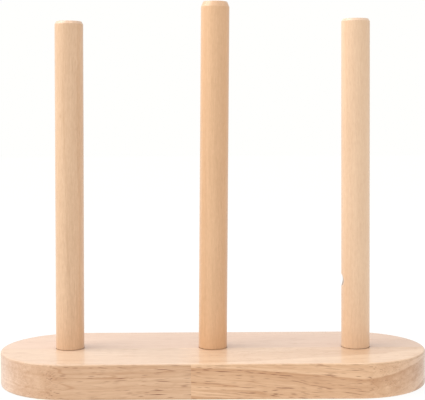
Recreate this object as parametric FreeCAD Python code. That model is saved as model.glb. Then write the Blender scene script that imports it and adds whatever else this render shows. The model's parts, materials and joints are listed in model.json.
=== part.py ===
"""Three-peg wooden stand: a round-ended board glued up from staves, with three lift-out dowels.

Millimetres. +X runs along the board, +Y towards its back, +Z up. The origin is the centre of the
board's underside, on the surface that the stand rests on.
"""
import FreeCAD, Part
import math
import os

# Board
BOARD_LENGTH = 300.0
BOARD_DEPTH = 105.0
BOARD_THICKNESS = 24.0
EDGE_ROUND = 1.6            # radius along the top and bottom edges
GLUE_LINE_Y = -3.0          # where the front staves meet the rear stave

# Finger joint between the two front staves
FINGER_TIP_X = -14.5        # the left stave reaches this far to the right
FINGER_LENGTH = 9.5
FINGER_PITCH = 4.5
FINGER_TIP_WIDTH = 0.7      # blunt end of each finger

# Pegs
PEG_RADIUS = 10.0
PEG_SPACING = 101.4
LEFT_TOP_Z = 254.9
MIDDLE_TOP_Z = 268.1
RIGHT_TOP_Z = 255.7
SEAT_RELIEF = 0.3           # the seated end is this much slimmer all round, so that it drops in
SHOULDER_RISE = 0.3         # full radius starts this far above the board
FOOT_BEVEL = 1.0            # eases the hidden lower end into its socket
TOP_SOFTENING = 0.35        # radius along both edges of the bevelled top

# Sockets
SOCKET_DEPTH = 16.0
SOCKET_CLEARANCE = 0.1      # radial, around the seated end
MOUTH_EASE = 0.5            # the mouth opens by this much, at 45 degrees

# Nick low on the right peg, on its left side, hollowed straight across it
NICK_RADIUS = 8.0
NICK_DEPTH = 1.4
NICK_HEIGHT = 71.5          # above the underside of the board
NICK_BEARING = 177.0        # degrees around the peg from +X

# Each peg: place along the board, top, lean towards +X in degrees, top bevel inwards and down
PEGS = {
    "left_peg": (-PEG_SPACING, LEFT_TOP_Z, 0.4, 1.2, 2.0),
    "middle_peg": (0.0, MIDDLE_TOP_Z, 0.7, 1.5, 3.7),
    "right_peg": (PEG_SPACING, RIGHT_TOP_Z, 0.0, 1.1, 1.8),
}

HALF_DEPTH = BOARD_DEPTH / 2
HALF_STRAIGHT = BOARD_LENGTH / 2 - HALF_DEPTH
SOCKET_FLOOR_Z = BOARD_THICKNESS - SOCKET_DEPTH
SEAT_RADIUS = PEG_RADIUS - SEAT_RELIEF
MARGIN = 10.0               # how far the cutting shapes reach past the board


def lean_axis(lean):
    """Direction of a peg that leans towards +X by this many degrees."""
    angle = math.radians(lean)
    return FreeCAD.Vector(math.sin(angle), 0, math.cos(angle))


def point_on_peg(place, lean, height):
    """Point on a peg's centre line. The lean pivots where the peg meets the board's top face."""
    run = (height - BOARD_THICKNESS) * math.tan(math.radians(lean))
    return FreeCAD.Vector(place + run, 0, height)


def prism(points, bottom, height):
    """Straight-sided solid from a closed outline in the XY plane."""
    corners = [FreeCAD.Vector(x, y, bottom) for x, y in points]
    corners.append(corners[0])
    return Part.Face(Part.makePolygon(corners)).extrude(FreeCAD.Vector(0, 0, height))


def board_blank():
    """The whole board: two straight sides, two half-round ends, rounded top and bottom edges."""
    back_left = FreeCAD.Vector(-HALF_STRAIGHT, HALF_DEPTH, 0)
    back_right = FreeCAD.Vector(HALF_STRAIGHT, HALF_DEPTH, 0)
    front_left = FreeCAD.Vector(-HALF_STRAIGHT, -HALF_DEPTH, 0)
    front_right = FreeCAD.Vector(HALF_STRAIGHT, -HALF_DEPTH, 0)
    left_end = FreeCAD.Vector(-BOARD_LENGTH / 2, 0, 0)
    right_end = FreeCAD.Vector(BOARD_LENGTH / 2, 0, 0)
    outline = Part.Wire([
        Part.makeLine(front_left, front_right),
        Part.Arc(front_right, right_end, back_right).toShape(),
        Part.makeLine(back_right, back_left),
        Part.Arc(back_left, left_end, front_left).toShape(),
    ])
    blank = Part.Face(outline).extrude(FreeCAD.Vector(0, 0, BOARD_THICKNESS))
    flat = [edge for edge in blank.Edges if edge.BoundBox.ZLength < 1e-6]
    return blank.makeFillet(EDGE_ROUND, flat)


def socket(place, lean):
    """Cutting shape of one blind socket with its eased mouth."""
    axis = lean_axis(lean)
    floor = point_on_peg(place, lean, SOCKET_FLOOR_Z)
    radius = SEAT_RADIUS + SOCKET_CLEARANCE
    bore = Part.makeCylinder(radius, SOCKET_DEPTH + MARGIN, floor, axis)
    ease_start = point_on_peg(place, lean, BOARD_THICKNESS - MOUTH_EASE)
    ease = Part.makeCone(radius, radius + 2 * MOUTH_EASE, 2 * MOUTH_EASE, ease_start, axis)
    return bore.fuse(ease)


def finger_line():
    """Zigzag of the finger joint in plan, from the front edge to the glue line."""
    slope_run = FINGER_PITCH / 2 - FINGER_TIP_WIDTH
    left_x = FINGER_TIP_X - FINGER_LENGTH
    points = [(FINGER_TIP_X, -HALF_DEPTH - MARGIN)]
    y = -HALF_DEPTH + FINGER_TIP_WIDTH
    at_tip = True
    while y + slope_run + FINGER_TIP_WIDTH < GLUE_LINE_Y:
        points.append((FINGER_TIP_X if at_tip else left_x, y))
        at_tip = not at_tip
        points.append((FINGER_TIP_X if at_tip else left_x, y + slope_run))
        y += slope_run + FINGER_TIP_WIDTH
    points.append((points[-1][0], GLUE_LINE_Y))
    return points


def front_left_region():
    """Plan outline of everything in front of the glue line and left of the finger joint."""
    left = -BOARD_LENGTH / 2 - MARGIN
    return finger_line() + [(left, GLUE_LINE_Y), (left, -HALF_DEPTH - MARGIN)]


def front_right_region():
    """Plan outline of everything in front of the glue line and right of the finger joint."""
    right = BOARD_LENGTH / 2 + MARGIN
    return finger_line() + [(right, GLUE_LINE_Y), (right, -HALF_DEPTH - MARGIN)]


def rear_region():
    """Plan outline of everything behind the glue line."""
    end = BOARD_LENGTH / 2 + MARGIN
    back = HALF_DEPTH + MARGIN
    return [(-end, GLUE_LINE_Y), (end, GLUE_LINE_Y), (end, back), (-end, back)]


def staves():
    """The board with its sockets, divided into its glued staves."""
    board = board_blank()
    for place, _, lean, _, _ in PEGS.values():
        board = board.cut(socket(place, lean))
    regions = {
        "front_left_stave": front_left_region(),
        "front_right_stave": front_right_region(),
        "rear_stave": rear_region(),
    }
    height = BOARD_THICKNESS + 2 * MARGIN
    return {name: board.common(prism(outline, -MARGIN, height)) for name, outline in regions.items()}


def peg(place, top, lean, bevel_in, bevel_down):
    """One dowel, from its socket's floor to its bevelled top."""
    length = (top - SOCKET_FLOOR_Z) / math.cos(math.radians(lean))
    shoulder = SOCKET_DEPTH + SHOULDER_RISE
    profile = [
        (0, 0),
        (SEAT_RADIUS - FOOT_BEVEL, 0),
        (SEAT_RADIUS, FOOT_BEVEL),
        (SEAT_RADIUS, shoulder - SEAT_RELIEF),
        (PEG_RADIUS, shoulder),
        (PEG_RADIUS, length - bevel_down),
        (PEG_RADIUS - bevel_in, length),
        (0, length),
    ]
    corners = [FreeCAD.Vector(radius, 0, height) for radius, height in profile]
    corners.append(corners[0])
    turned = Part.Face(Part.makePolygon(corners)).revolve(FreeCAD.Vector(), FreeCAD.Vector(0, 0, 1), 360)
    bevel_edges = [edge for edge in turned.Edges if edge.BoundBox.ZMin > length - bevel_down - 1e-6
                   and edge.BoundBox.ZLength < 1e-6]
    turned = turned.makeFillet(TOP_SOFTENING, bevel_edges)
    turned.rotate(FreeCAD.Vector(), FreeCAD.Vector(0, 1, 0), lean)
    turned.translate(point_on_peg(place, lean, SOCKET_FLOOR_Z))
    return turned


def nick(place):
    """Cutting shape of the nick: a level cylinder across a peg's side."""
    bearing = math.radians(NICK_BEARING)
    reach = PEG_RADIUS + NICK_RADIUS - NICK_DEPTH
    centre = FreeCAD.Vector(place + reach * math.cos(bearing), reach * math.sin(bearing), NICK_HEIGHT)
    across = FreeCAD.Vector(-math.sin(bearing), math.cos(bearing), 0)
    return Part.makeCylinder(NICK_RADIUS, 2 * PEG_RADIUS, centre - across * PEG_RADIUS, across)


def pegs():
    """The three dowels, by name."""
    made = {name: peg(*values) for name, values in PEGS.items()}
    made["right_peg"] = made["right_peg"].cut(nick(PEGS["right_peg"][0]))
    return made


def main():
    os.makedirs("parts", exist_ok=True)
    for name, shape in {**staves(), **pegs()}.items():
        solid = shape.Solids[0]
        print(name, len(shape.Solids), "solid, valid", solid.isValid(), "volume", round(solid.Volume, 1))
        solid.exportStep(f"parts/{name}.step")


main()
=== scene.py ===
"""Looks of the three-peg wooden stand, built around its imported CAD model. Metres, +Z up.

Each peg is a turned mesh that stands for its CAD node. The board's staves are the CAD nodes
themselves. The wood materials work in millimetres, with their own x axis along the grain.
"""

import json
import math
import random

import bpy
from mathutils import Matrix, Vector, noise


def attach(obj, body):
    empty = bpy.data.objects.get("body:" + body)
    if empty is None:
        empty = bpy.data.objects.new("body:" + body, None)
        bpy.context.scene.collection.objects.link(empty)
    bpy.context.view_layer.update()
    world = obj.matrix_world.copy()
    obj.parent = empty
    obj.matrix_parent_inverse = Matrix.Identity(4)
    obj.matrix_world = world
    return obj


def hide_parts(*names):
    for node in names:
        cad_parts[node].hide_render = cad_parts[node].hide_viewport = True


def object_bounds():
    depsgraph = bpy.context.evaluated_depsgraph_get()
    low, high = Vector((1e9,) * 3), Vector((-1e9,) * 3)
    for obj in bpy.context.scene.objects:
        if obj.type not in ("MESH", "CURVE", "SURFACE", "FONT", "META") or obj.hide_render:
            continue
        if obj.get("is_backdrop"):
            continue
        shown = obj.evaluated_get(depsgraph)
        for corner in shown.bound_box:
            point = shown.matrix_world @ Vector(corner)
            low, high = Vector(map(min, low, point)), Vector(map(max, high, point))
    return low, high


MM = 0.001

# Pegs: seed of the surface, top bevel inwards and down (mm)
PEGS = {
    "left_peg": (11, 1.2, 2.0),
    "middle_peg": (23, 1.5, 3.7),
    "right_peg": (37, 1.1, 1.8),
}
PEG_SEGMENTS = 96
RING_SPACING = 1.5 * MM
SHARP_FROM = math.radians(40)   # edges that turn by more than this are shaded sharp
SEAT_LENGTH = 16.0 * MM         # of the slimmer end that stands in the socket
SEAT_RELIEF = 0.3 * MM
FOOT_BEVEL = 1.0 * MM
MOUTH_SHADE = 0.35                    # how dark the painted shade is in the gap at the socket's mouth
MOUTH_SHADE_REACH = 0.5 * MM
TOP_SOFTENING = 0.35 * MM

# Wear of the pegs
WAVINESS = 0.03 * MM            # how far a sanded dowel is from a true cylinder
WAVES_AROUND = 1.5
WAVES_PER_METRE = 25
DENTS_PER_PEG = 5
DENT_PLACE = (0.2, 0.95)        # shares of the peg's length
DENT_DEPTH = (0.04, 0.12)       # mm
DENT_WIDTH = (1.0, 2.2)         # mm
NICK_DARKENING_FROM = 0.15                # mm below the wall, which only the nick is
NICK_DARKENING_RATE = 3.0                 # how fast the nick's darker colour takes over below that, per mm

# Nick in the right peg
NICK_RADIUS = 8.0 * MM
NICK_DEPTH = 1.4 * MM
NICK_HEIGHT = 71.5 * MM         # above the underside of the board
NICK_BEARING = math.radians(177)
NICK_RING_SPACING = 0.4 * MM
NICK_RINGS = 13                 # on each side of the nick's middle

# Light
AMBIENT = 0.82
RIGHT_DIMMING = 0.15                # the surroundings are darker on the right
OVERHEAD = 0.4                      # and brighter above
BACKDROP = (1, 1, 0.985, 1)
FLOOR_COLOUR = (0.1, 0.1, 0.1, 1)
FLOOR_GLOW = 0.9
FLOOR_REACH = 4.0
SOFTBOX_WIDTH = 0.7
SOFTBOX_HEIGHT = 0.9
SOFTBOX_DISTANCE = 1.1
SOFTBOX_TURN = math.radians(82)     # round to the left from the camera's side
SOFTBOX_RISE = math.radians(50)
SOFTBOX_POWER = 8.0

# Camera
LENS = 90.1
SENSOR_WIDTH = 36.0
SHIFT_UP = -0.0925
CAMERA_DISTANCE = 0.75
CAMERA_HEIGHT = 0.1893
CAMERA_SIDE = 0.0005
TILT_DOWN = math.radians(2.5)
ROLL = math.radians(-0.308)


class Shader:
    """Adds and wires the nodes of one material or world."""

    def __init__(self, owner):
        owner.use_nodes = True
        self.tree = owner.node_tree

    def add(self, kind, inputs=None, **settings):
        """A new node. The inputs are numbers, colours or other nodes' outputs, by name or place."""
        node = self.tree.nodes.new(kind)
        for name, value in settings.items():
            setattr(node, name, value)
        for key, value in (inputs or {}).items():
            self.put(node.inputs[key], value)
        return node

    def put(self, socket, value):
        if isinstance(value, bpy.types.NodeSocket):
            self.tree.links.new(value, socket)
        else:
            socket.default_value = value

    def maths(self, operation, *values):
        node = self.add("ShaderNodeMath", dict(enumerate(values)), operation=operation)
        return node.outputs[0]

    def vector(self, operation, *values):
        node = self.add("ShaderNodeVectorMath", dict(enumerate(values)), operation=operation)
        return node.outputs["Value" if operation in ("LENGTH", "DOT_PRODUCT") else "Vector"]

    def parts(self, vector):
        return self.add("ShaderNodeSeparateXYZ", {0: vector}).outputs

    def join(self, x, y, z):
        return self.add("ShaderNodeCombineXYZ", {0: x, 1: y, 2: z}).outputs[0]

    def noise(self, place, cell, detail=2.0, roughness=0.5):
        """Smooth noise, about 0.5 on average. The cell is its size in millimetres along x, y and z."""
        place = self.vector("DIVIDE", place, cell)
        node = self.add("ShaderNodeTexNoise", {"Vector": place, "Scale": 1.0, "Detail": detail,
                                               "Roughness": roughness})
        return node.outputs["Fac"]

    def spread(self, value, low, high, to_low=0.0, to_high=1.0):
        """The value's range low to high, turned smoothly into to_low to to_high."""
        node = self.add("ShaderNodeMapRange", {"Value": value, "From Min": low, "From Max": high,
                                               "To Min": to_low, "To Max": to_high},
                        interpolation_type="SMOOTHSTEP")
        return node.outputs[0]

    def mix(self, share, first, second, blend="MIX"):
        """Two colours mixed by share."""
        node = self.add("ShaderNodeMix", data_type="RGBA", blend_type=blend)
        for socket, value in zip([s for s in node.inputs if s.enabled], (share, first, second)):
            self.put(socket, value)
        return next(s for s in node.outputs if s.enabled)


def colour(red, green, blue):
    """A colour given as it looks on a screen, 0 to 255, in Blender's linear numbers."""
    def linear(value):
        value /= 255
        return value / 12.92 if value <= 0.04045 else ((value + 0.055) / 1.055) ** 2.4
    return (linear(red), linear(green), linear(blue), 1.0)


# Cells of the wood's patterns, in millimetres along the grain and across it both ways
WANDER_CELL = (120, 35, 35)
QUIVER_CELL = (22, 6, 6)
WIDE_STREAK_CELL = (180, 11, 11)
FIBRE_CELL = (10, 0.4, 0.4)
FLECK_CELL = (3.5, 1.1, 1.1)
CLOUD_CELL = (70, 25, 25)
VEIN_CELL = (190, 7, 7)
LONG_PORE_CELL = (24.0, 0.72, 0.72)
SHORT_PORE_CELL = (9.0, 0.62, 0.62)
CROWDING_CELL = (60, 6, 6)
SCUFF_CELL = (6, 2.5, 2.5)

# Other sizes of the patterns, in millimetres
WANDER_REACH = 4.0              # how far the grain wanders from straight
QUIVER_REACH = 0.35
PATTERN_GAP = 500.0             # places this far apart look unrelated
SEED_SHIFT = (13.0, 7.0, 5.0)   # through the patterns, for each step of a seed
STREAK_SLIMNESS = 40            # a streak's length in widths
FINE_RING_WIDTH = 2.4

# Woods. Lengths are in millimetres, and places are across the grain of the piece.
#   pith          where the tree's centre was
#   slope         how much the grain rises along the piece
#   band          width of a growth ring
#   pale_at       distance from the pith where a ring starts, at its palest
#   light, dark   the two colours that the figure runs between
#   streak_width  width of the finer streaks
#   end           brightness of the end grain
# Bands, lines, streaks, flecks and pores say how strongly each kind of figure shows. The lines are
# the fine rings and the veins.
WOODS = {
    "front_left_stave": dict(
        seed=3, pith=(-30, -140), slope=0.02, band=19, pale_at=150, light=(225, 187, 152),
        dark=(194, 149, 112), bands=0.1, lines=0.5, streaks=0.7, streak_width=2.2, flecks=0.2,
        pores=1.1, end=1.0),
    "front_right_stave": dict(
        seed=17, pith=(10, -102), slope=-0.0775, band=16, pale_at=138.5, light=(229, 187, 148),
        dark=(197, 149, 109), bands=0.4, lines=0.6, streaks=0.8, streak_width=2.0, flecks=0.2,
        pores=1.2, end=0.88),
    "rear_stave": dict(
        seed=29, pith=(20, -120), slope=0.0, band=17, pale_at=140, light=(219, 179, 147),
        dark=(192, 145, 111), bands=0.3, lines=0.4, streaks=0.5, streak_width=2.0, flecks=0.2,
        pores=0.8, end=0.95),
    "left_peg": dict(
        seed=41, pith=(60, 20), slope=0.0, band=9, pale_at=60, light=(228, 192, 157),
        dark=(202, 163, 127), bands=0.1, lines=0.2, streaks=0.25, streak_width=1.0, flecks=0.7,
        pores=0.15, end=1.0),
    "middle_peg": dict(
        seed=53, pith=(-50, 60), slope=0.0, band=12, pale_at=70, light=(226, 183, 142),
        dark=(206, 162, 120), bands=0.1, lines=0.1, streaks=0.3, streak_width=1.6, flecks=0.8,
        pores=0.1, end=1.0),
    "right_peg": dict(
        seed=67, pith=(40, -70), slope=0.0, band=12, pale_at=80, light=(235, 202, 168),
        dark=(216, 178, 143), bands=0.1, lines=0.1, streaks=0.3, streak_width=1.6, flecks=0.8,
        pores=0.1, end=1.0),
}
END_GRAIN_TINT = (0.98, 1.08, 1.32, 1)      # end grain is less yellow than side grain
BOARD_TOP_SHEEN_TINT = (1.03, 1.18, 1.37, 1)      # painted sheen: the board's upward faces painted paler and whiter
# painted shade: the pegs' upward faces, their top bevels and ends, painted a little darker
PEG_TOP_SHADE_TINT = (0.94, 0.95, 1.0, 1)
TOP_WASHOUT = 0.5                            # how much of the figure is washed out on an upward face, as painted light
RIM_SHADE_TINT = (0.87, 0.84, 0.79, 1)            # painted shade: the board is darker along its rounded top edge
SCUFF_TINT = (1.1, 1.12, 1.15, 1)           # edges are rubbed paler
PORE_COLOUR = (124, 68, 34)
NICK_AND_MOUTH_SHADE_COLOUR = (136, 106, 78)                # darker in the nick, and painted shade in the gap along the socket's mouth
ROUGHNESS = 0.45
ROUGHER = 0.25                              # added in pores and scuffs
SPECULAR = 0.4
COAT_IOR = 1.5
BOARD_COAT = (0.4, 0.07)                    # weight and roughness of the lacquer
PEG_COAT = (0.5, 0.3)
BUMP_HEIGHT = 0.05 * MM
BUMP_STRENGTH = 0.4


def grain_space(s, look, upright):
    """Millimetres along and across the grain, and how far the surface faces along it and upwards."""
    coordinates = s.add("ShaderNodeTexCoord").outputs
    x, y, z = s.parts(s.vector("MULTIPLY", coordinates["Object"], (1 / MM, 1 / MM, 1 / MM)))
    facing = s.parts(coordinates["Normal"])
    if upright:
        x, y, z = z, x, y
    z = s.maths("SUBTRACT", z, s.maths("MULTIPLY", x, look["slope"]))
    along = s.maths("POWER", s.maths("ABSOLUTE", facing[2 if upright else 0]), 2.0)
    return s.join(x, y, z), along, facing[2]


def wandering(s, place, reach, cell):
    """The place, moved across the grain by smooth noise, as grain wanders round knots."""
    shifts = []
    for gap in (0.0, PATTERN_GAP):
        noise_there = s.noise(s.vector("ADD", place, (0.0, gap, 0.0)), cell)
        shifts.append(s.maths("MULTIPLY", s.maths("SUBTRACT", noise_there, 0.5), 2 * reach))
    return s.vector("ADD", place, s.join(0.0, *shifts))


def ring_noise(s, radius, width, detail):
    """Noise that changes only with the distance from the pith."""
    node = s.add("ShaderNodeTexNoise", {"W": s.maths("DIVIDE", radius, width), "Scale": 1.0,
                                        "Detail": detail, "Roughness": 0.55}, noise_dimensions="1D")
    return node.outputs["Fac"]


def growth_bands(s, radius, pale_at, width):
    """1 just outside each growth ring, falling to -1 just inside the next one out."""
    phase = s.maths("FRACT", s.maths("DIVIDE", s.maths("SUBTRACT", radius, pale_at), width))
    fall = s.maths("MULTIPLY_ADD", phase, -2.0, 1.0)
    return s.maths("ADD", fall, s.spread(phase, 0.95, 1.0, 0.0, 2.0))


def contour(s, value, width):
    """1 on thin lines where the noise passes its average, and 0 away from them."""
    return s.spread(s.maths("ABSOLUTE", s.maths("SUBTRACT", value, 0.5)), 0.0, width, 1.0, 0.0)


def pores(s, place, cell, share):
    """Short dark vessels along the grain, in this share of the cells: dashes, or dots on end grain."""
    node = s.add("ShaderNodeTexVoronoi", {"Vector": s.vector("DIVIDE", place, cell), "Scale": 1.0})
    chosen = s.maths("LESS_THAN", s.parts(node.outputs["Color"])[0], share)
    return s.maths("MULTIPLY", s.spread(node.outputs["Distance"], 0.1, 0.38, 1.0, 0.0), chosen)


def pores_here(s, look, seeded, bent, side):
    """How much of a pore is there. Pores show more in some places than others, and less on end grain."""
    long_pores = pores(s, bent, LONG_PORE_CELL, 0.5)
    elsewhere = s.vector("ADD", bent, (0.0, 90.0, 0.0))
    short_pores = pores(s, elsewhere, SHORT_PORE_CELL, 0.6)
    holes = s.maths("MAXIMUM", long_pores, s.maths("MULTIPLY", short_pores, 0.8))
    crowding = s.spread(s.noise(seeded, CROWDING_CELL, 2.0), 0.4, 0.6, 0.25, 1.0)
    crowding = s.maths("MULTIPLY", crowding, s.maths("MULTIPLY_ADD", side, 0.6, 0.4))
    return s.maths("MULTIPLY", s.maths("MULTIPLY", holes, crowding), look["pores"])


def pith_distance(s, look, place):
    """Distance across the grain from the pith."""
    across, up = look["pith"]
    seed = look["seed"]
    pith = (seed * SEED_SHIFT[0], seed * SEED_SHIFT[1] + across, seed * SEED_SHIFT[2] + up)
    offset = s.vector("MULTIPLY", s.vector("SUBTRACT", place, pith), (0.0, 1.0, 1.0))
    return s.vector("LENGTH", offset)


def figure(s, look, seeded, end):
    """The wood's figure, from 0 for dark to 1 for pale, its fibres, and how much of a pore is there."""
    side = s.spread(end, 0.0, 0.15, 1.0, 0.0)
    curved = wandering(s, seeded, WANDER_REACH, WANDER_CELL)
    bent = wandering(s, curved, QUIVER_REACH, QUIVER_CELL)
    radius = pith_distance(s, look, bent)
    bands = growth_bands(s, radius, look["pale_at"], look["band"])
    fine_rings = ring_noise(s, s.maths("ADD", radius, 400.0), FINE_RING_WIDTH, 2.0)
    width = look["streak_width"]
    streaks = s.noise(bent, (width * STREAK_SLIMNESS, width, width), 3.0, 0.6)
    wide_streaks = s.noise(bent, WIDE_STREAK_CELL, 2.0, 0.6)
    fibres = s.noise(bent, FIBRE_CELL, 2.0, 0.6)
    flecks = s.noise(bent, FLECK_CELL, 2.0, 0.6)
    clouds = s.noise(seeded, CLOUD_CELL, 2.0)
    vein_noise = s.noise(curved, VEIN_CELL, 1.0)
    veins = s.maths("MULTIPLY", contour(s, vein_noise, 0.014), side)
    ring_lines = s.maths("MULTIPLY", contour(s, fine_rings, 0.06), end)

    layers = (
        (fine_rings, 0.9 * look["lines"]),
        (streaks, 1.8 * look["streaks"]),
        (fibres, 0.7),
        (clouds, 0.5),
        (wide_streaks, 1.4 * look["streaks"]),
        (flecks, look["flecks"]),
    )
    tone = s.maths("MULTIPLY_ADD", bands, look["bands"], 0.5)
    for layer, strength in layers:
        tone = s.maths("MULTIPLY_ADD", s.maths("SUBTRACT", layer, 0.5), strength, tone)
    tone = s.maths("MULTIPLY_ADD", veins, -0.9 * look["lines"], tone)
    tone = s.maths("MULTIPLY_ADD", ring_lines, 0.4, tone)
    tone = s.add("ShaderNodeClamp", {0: tone}).outputs[0]
    return tone, fibres, pores_here(s, look, seeded, bent, side)


def tinted(s, share, base, tint):
    """The base colour, multiplied by the tint where the share is 1."""
    return s.mix(share, base, s.mix(1.0, base, tint, "MULTIPLY"))


def wood_colour(s, look, upright, tone, holes, end, up):
    """Colour of the wood before its rims are rubbed: figure, pores, painted light on upward faces (paler
    on the board, darker on the pegs) and end grain.
    """
    # upward faces lose some figure under painted light
    washed_out = s.maths("MULTIPLY", up, TOP_WASHOUT)
    tone = s.maths("MULTIPLY_ADD", s.maths("SUBTRACT", 0.5, tone), washed_out, tone)
    base = s.mix(tone, colour(*look["dark"]), colour(*look["light"]))
    shown_holes = s.maths("MULTIPLY", holes, s.spread(up, 0.5, 0.9, 1.0, 0.35))
    base = s.mix(shown_holes, base, colour(*PORE_COLOUR))
    # painted sheen on the board's upward faces, painted shade on the pegs'
    base = tinted(s, up, base, PEG_TOP_SHADE_TINT if upright else BOARD_TOP_SHEEN_TINT)
    end_tint = [part * look["end"] for part in END_GRAIN_TINT[:3]] + [1]
    return tinted(s, end, base, end_tint)


def wood(name, upright):
    """Lacquered rubberwood. The grain runs along the piece's x axis, or its z axis if upright."""
    look = WOODS[name]
    material = bpy.data.materials.new(f"wood_{name}")
    s = Shader(material)
    surface = s.tree.nodes["Principled BSDF"]
    grain, end, facing_up = grain_space(s, look, upright)
    seeded = s.vector("ADD", grain, [look["seed"] * step for step in SEED_SHIFT])
    tone, fibres, holes = figure(s, look, seeded, end)
    up = s.maths("MAXIMUM", facing_up, 0.0)
    # faces that turn from upward to the side, the rounded edges: for the painted rim shade and the scuffs
    rim = s.maths("MULTIPLY", s.spread(up, 0.02, 0.25), s.spread(up, 0.6, 0.97, 1.0, 0.0))
    rubbed = s.maths("MULTIPLY", s.spread(s.noise(seeded, SCUFF_CELL, 2.0), 0.5, 0.65), rim)

    base = wood_colour(s, look, upright, tone, holes, end, up)
    if upright:
        # painted shade at the socket's mouth, and the nick's darker colour, from the stored attribute
        nick_and_mouth_shade = s.add("ShaderNodeAttribute", attribute_name="nick_and_mouth_shade").outputs["Fac"]
        base = s.mix(nick_and_mouth_shade, base, colour(*NICK_AND_MOUTH_SHADE_COLOUR))
    else:
        # painted shade along the board's rounded top edge
        base = tinted(s, rim, base, RIM_SHADE_TINT)
    s.put(surface.inputs["Base Color"], tinted(s, rubbed, base, SCUFF_TINT))
    roughness = s.maths("MULTIPLY_ADD", s.maths("MAXIMUM", holes, rubbed), ROUGHER, ROUGHNESS)
    s.put(surface.inputs["Roughness"], roughness)
    surface.inputs["Specular IOR Level"].default_value = SPECULAR
    coat_weight, coat_roughness = PEG_COAT if upright else BOARD_COAT
    surface.inputs["Coat Weight"].default_value = coat_weight
    surface.inputs["Coat IOR"].default_value = COAT_IOR
    surface.inputs["Coat Roughness"].default_value = coat_roughness
    height = s.maths("SUBTRACT", s.maths("MULTIPLY", fibres, 0.4), holes)
    bump = s.add("ShaderNodeBump", {"Strength": BUMP_STRENGTH, "Distance": BUMP_HEIGHT, "Height": height})
    s.put(surface.inputs["Normal"], bump.outputs[0])
    return material


def peg_mount(node):
    """The record's mount for a peg's shaft."""
    return next(m for m in frame["record"]["mounts"] if m["name"] == node + "_shaft")


def peg_place(node):
    """A peg's matrix, with its own +Z up the peg from the centre of its foot, and its length."""
    mount = peg_mount(node)
    axis = Vector(mount["axis"])
    through = Vector(mount["pos_m"])
    heights = [(vertex.co - through).dot(axis) for vertex in frame["nodes"][node].data.vertices]
    foot = through + axis * min(heights)
    turn = Vector((0, 0, 1)).rotation_difference(axis).to_matrix().to_4x4()
    return Matrix.Translation(foot) @ turn, max(heights) - min(heights)


def softened_corner(before, corner, after, radius, steps=4):
    """Points of an arc that rounds off a profile's corner."""
    before, corner, after = Vector(before), Vector(corner), Vector(after)
    back = (before - corner).normalized()
    onward = (after - corner).normalized()
    half = back.angle(onward) / 2
    centre = corner + (back + onward).normalized() * (radius / math.sin(half))
    start = corner + back * (radius / math.tan(half)) - centre
    end = corner + onward * (radius / math.tan(half)) - centre
    bend = math.pi - 2 * half
    points = []
    for step in range(steps + 1):
        from_start = bend * step / steps
        arm = start * math.sin(bend - from_start) + end * math.sin(from_start)
        points.append(tuple(centre + arm / math.sin(bend)))
    return points


def peg_profile(length, radius, bevel_in, bevel_down, extra_heights):
    """Outline of a peg as radius and height, from the middle of its foot to the middle of its top."""
    seat = radius - SEAT_RELIEF
    wall = (radius, SEAT_LENGTH + SEAT_RELIEF)
    bevel_start = (radius, length - bevel_down)
    bevel_end = (radius - bevel_in, length)
    middle = (0.0, length)
    lower = softened_corner(wall, bevel_start, bevel_end, TOP_SOFTENING)
    upper = softened_corner(bevel_start, bevel_end, middle, TOP_SOFTENING)
    outline = [(0.0, 0.0), (seat - FOOT_BEVEL, 0.0), (seat, FOOT_BEVEL)]
    outline += [(seat, SEAT_LENGTH - MOUTH_SHADE_REACH), (seat, SEAT_LENGTH), wall]
    wall_length = lower[0][1] - wall[1]
    rings = math.ceil(wall_length / RING_SPACING)
    heights = [wall[1] + wall_length * ring / rings for ring in range(1, rings)]
    heights.append(wall[1] + MOUTH_SHADE_REACH)
    outline += [(radius, height) for height in sorted(heights + extra_heights)]
    outline += lower + upper
    outline += [(upper[-1][0] * share, length) for share in (0.75, 0.5, 0.25)] + [middle]
    return outline


def nick_radius(angle, height, radius):
    """Radius of the right peg where its nick, hollowed straight across it, may cut into it."""
    facing = math.cos(angle - NICK_BEARING)
    inside = NICK_RADIUS ** 2 - (height - NICK_HEIGHT) ** 2
    if facing <= 0 or inside < 0:
        return radius
    floor_of_nick = radius + NICK_RADIUS - NICK_DEPTH - math.sqrt(inside)
    return min(radius, floor_of_nick / facing)


def turned_mesh(name, outline, shape):
    """Closed mesh turned from an outline; shape gives the radius at each angle and height."""
    vertices = [(0.0, 0.0, outline[0][1])]
    for radius, height in outline[1:-1]:
        for step in range(PEG_SEGMENTS):
            angle = 2 * math.pi * step / PEG_SEGMENTS
            out = shape(radius, angle, height)
            vertices.append((out * math.cos(angle), out * math.sin(angle), height))
    vertices.append((0.0, 0.0, outline[-1][1]))
    last = len(vertices) - 1
    rings = len(outline) - 2
    faces = []
    for step in range(PEG_SEGMENTS):
        after = (step + 1) % PEG_SEGMENTS
        faces.append((0, 1 + after, 1 + step))
        top = 1 + (rings - 1) * PEG_SEGMENTS
        faces.append((last, top + step, top + after))
        for ring in range(rings - 1):
            low = 1 + ring * PEG_SEGMENTS
            high = low + PEG_SEGMENTS
            faces.append((low + step, low + after, high + after, high + step))
    mesh = bpy.data.meshes.new(name)
    mesh.from_pydata(vertices, [], faces)
    mesh.validate()
    mesh.shade_smooth()
    mesh.set_sharp_from_angle(angle=SHARP_FROM)
    return mesh


def scattered_dents(seed, length):
    """Shallow dents in a peg: the height, bearing, depth and width of each."""
    rng = random.Random(seed)
    dents = []
    for _ in range(DENTS_PER_PEG):
        height = rng.uniform(*DENT_PLACE) * length
        bearing = rng.uniform(0, 2 * math.pi)
        depth = rng.uniform(*DENT_DEPTH) * MM
        width = rng.uniform(*DENT_WIDTH) * MM
        dents.append((height, bearing, depth, width))
    return dents


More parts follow.
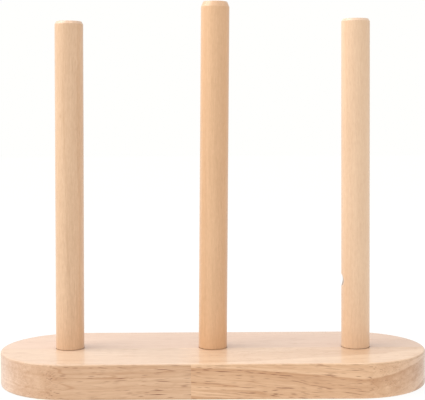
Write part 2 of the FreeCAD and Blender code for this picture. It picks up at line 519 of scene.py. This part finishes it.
def uneven_radius(radius, angle, height, seed, dents):
    """Radius of a peg's wall with its waviness and dents."""
    spot = Vector((math.cos(angle) * WAVES_AROUND, math.sin(angle) * WAVES_AROUND,
                   height * WAVES_PER_METRE + seed))
    out = radius + WAVINESS * noise.noise(spot)
    for dent_height, bearing, depth, width in dents:
        turn = (angle - bearing + math.pi) % (2 * math.pi) - math.pi
        away = math.hypot(turn * radius, height - dent_height) / width
        out -= depth * math.exp(-away ** 2)
    return out


def mark_nick_and_mouth_shade(mesh, radius, wall_top):
    """Stores how dark each point is painted: fully in the nick, and in part along the socket's mouth, as
    painted shade in the gap there.
    """
    shoulder = SEAT_LENGTH + SEAT_RELIEF / 2
    wall_foot = SEAT_LENGTH + 2 * SEAT_RELIEF
    nick_and_mouth_shade = mesh.attributes.new("nick_and_mouth_shade", "FLOAT", "POINT")
    for vertex, stored in zip(mesh.vertices, nick_and_mouth_shade.data):
        height = vertex.co.z
        depth = (radius - vertex.co.xy.length) / MM
        # painted shade in the gap at the socket's mouth, around the shoulder
        if abs(height - shoulder) < SEAT_RELIEF:
            stored.value = MOUTH_SHADE
        elif wall_foot < height < wall_top:
            stored.value = min(1.0, max(0.0, depth - NICK_DARKENING_FROM) * NICK_DARKENING_RATE)


def peg(node, seed, bevel_in, bevel_down):
    """One dowel, slightly uneven and dented, in place of its CAD node."""
    matrix, length = peg_place(node)
    radius = peg_mount(node)["dims"]["r_mm"] * MM
    foot = matrix.translation.z
    dents = scattered_dents(seed, length)
    nicked = node == "right_peg"

    def shape(at_radius, angle, height):
        if at_radius < radius - SEAT_RELIEF / 2:
            return at_radius
        out = uneven_radius(at_radius, angle, height, seed, dents)
        return min(out, nick_radius(angle, height + foot, radius)) if nicked else out

    nick_rings = range(-NICK_RINGS, NICK_RINGS + 1) if nicked else []
    nick_heights = [NICK_HEIGHT - foot + ring * NICK_RING_SPACING for ring in nick_rings]
    outline = peg_profile(length, radius, bevel_in * MM, bevel_down * MM, nick_heights)
    mesh = turned_mesh(node + "_turned", outline, shape)
    mark_nick_and_mouth_shade(mesh, radius, length - bevel_down * MM)
    mesh.materials.append(wood(node, upright=True))
    piece = bpy.data.objects.new(node + "_turned", mesh)
    bpy.context.scene.collection.objects.link(piece)
    piece.matrix_world = matrix
    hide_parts(node)
    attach(piece, node)


def floor():
    """Pale light table that the stand rests on."""
    mesh = bpy.data.meshes.new("floor")
    reach = FLOOR_REACH
    corners = [(-reach, -reach, 0), (reach, -reach, 0), (reach, reach, 0), (-reach, reach, 0)]
    mesh.from_pydata(corners, [], [(0, 1, 2, 3)])
    table = bpy.data.objects.new("floor", mesh)
    bpy.context.scene.collection.objects.link(table)
    material = bpy.data.materials.new("pale_floor")
    s = Shader(material)
    surface = s.tree.nodes["Principled BSDF"]
    surface.inputs["Base Color"].default_value = FLOOR_COLOUR
    surface.inputs["Specular IOR Level"].default_value = 0.0
    surface.inputs["Emission Color"].default_value = BACKDROP
    surface.inputs["Emission Strength"].default_value = FLOOR_GLOW
    mesh.materials.append(material)
    table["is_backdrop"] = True


def surroundings():
    """White light from all round, a little less from the right and more from above."""
    world = bpy.data.worlds.new("studio")
    bpy.context.scene.world = world
    s = Shader(world)
    s.tree.nodes.clear()
    x, y, z = s.parts(s.add("ShaderNodeTexCoord").outputs["Generated"])
    light = s.maths("MULTIPLY_ADD", x, -RIGHT_DIMMING, AMBIENT)
    light = s.maths("MULTIPLY_ADD", s.maths("MAXIMUM", z, 0.0), OVERHEAD, light)
    around = s.add("ShaderNodeBackground", {"Color": (1, 1, 1, 1), "Strength": light}).outputs[0]
    behind = s.add("ShaderNodeBackground", {"Color": BACKDROP, "Strength": 1.0}).outputs[0]
    seen = s.add("ShaderNodeLightPath").outputs["Is Camera Ray"]
    shown = s.add("ShaderNodeMixShader", {0: seen, 1: around, 2: behind}).outputs[0]
    s.add("ShaderNodeOutputWorld", {"Surface": shown})


def softbox():
    """A large soft light, high on the left."""
    data = bpy.data.lights.new("softbox", "AREA")
    data.shape = "RECTANGLE"
    data.size = SOFTBOX_WIDTH
    data.size_y = SOFTBOX_HEIGHT
    data.energy = SOFTBOX_POWER
    lamp = bpy.data.objects.new("softbox", data)
    bpy.context.scene.collection.objects.link(lamp)
    low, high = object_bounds()
    middle = (low + high) / 2
    away = Vector((-math.sin(SOFTBOX_TURN) * math.cos(SOFTBOX_RISE),
                   -math.cos(SOFTBOX_TURN) * math.cos(SOFTBOX_RISE), math.sin(SOFTBOX_RISE)))
    facing = away.to_track_quat("Z", "Y").to_matrix().to_4x4()
    lamp.matrix_world = Matrix.Translation(middle + away * SOFTBOX_DISTANCE) @ facing


def camera():
    """The camera, a little above the middle of the pegs and looking slightly down."""
    data = bpy.data.cameras.new("camera")
    data.sensor_width = SENSOR_WIDTH
    data.lens = LENS
    data.shift_y = SHIFT_UP
    view = bpy.data.objects.new("camera", data)
    bpy.context.scene.collection.objects.link(view)
    place = Matrix.Translation((CAMERA_SIDE, -CAMERA_DISTANCE, CAMERA_HEIGHT))
    tilt = Matrix.Rotation(math.pi / 2 - TILT_DOWN, 4, "X")
    view.matrix_world = place @ tilt @ Matrix.Rotation(ROLL, 4, "Z")
    bpy.context.scene.camera = view


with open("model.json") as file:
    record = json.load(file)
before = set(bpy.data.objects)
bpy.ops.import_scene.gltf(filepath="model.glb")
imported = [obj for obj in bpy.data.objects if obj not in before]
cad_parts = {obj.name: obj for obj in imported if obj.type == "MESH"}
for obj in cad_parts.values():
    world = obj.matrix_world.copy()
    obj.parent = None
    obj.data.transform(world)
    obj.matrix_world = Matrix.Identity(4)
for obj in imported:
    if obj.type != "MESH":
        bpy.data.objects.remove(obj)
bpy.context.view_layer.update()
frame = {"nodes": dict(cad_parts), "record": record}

for node, values in PEGS.items():
    peg(node, *values)
for node in ("front_left_stave", "front_right_stave", "rear_stave"):
    stave = frame["nodes"][node]
    stave.data.materials.clear()
    stave.data.materials.append(wood(node, upright=False))
floor()
surroundings()
softbox()
camera()
bpy.context.scene.view_settings.view_transform = "Standard"
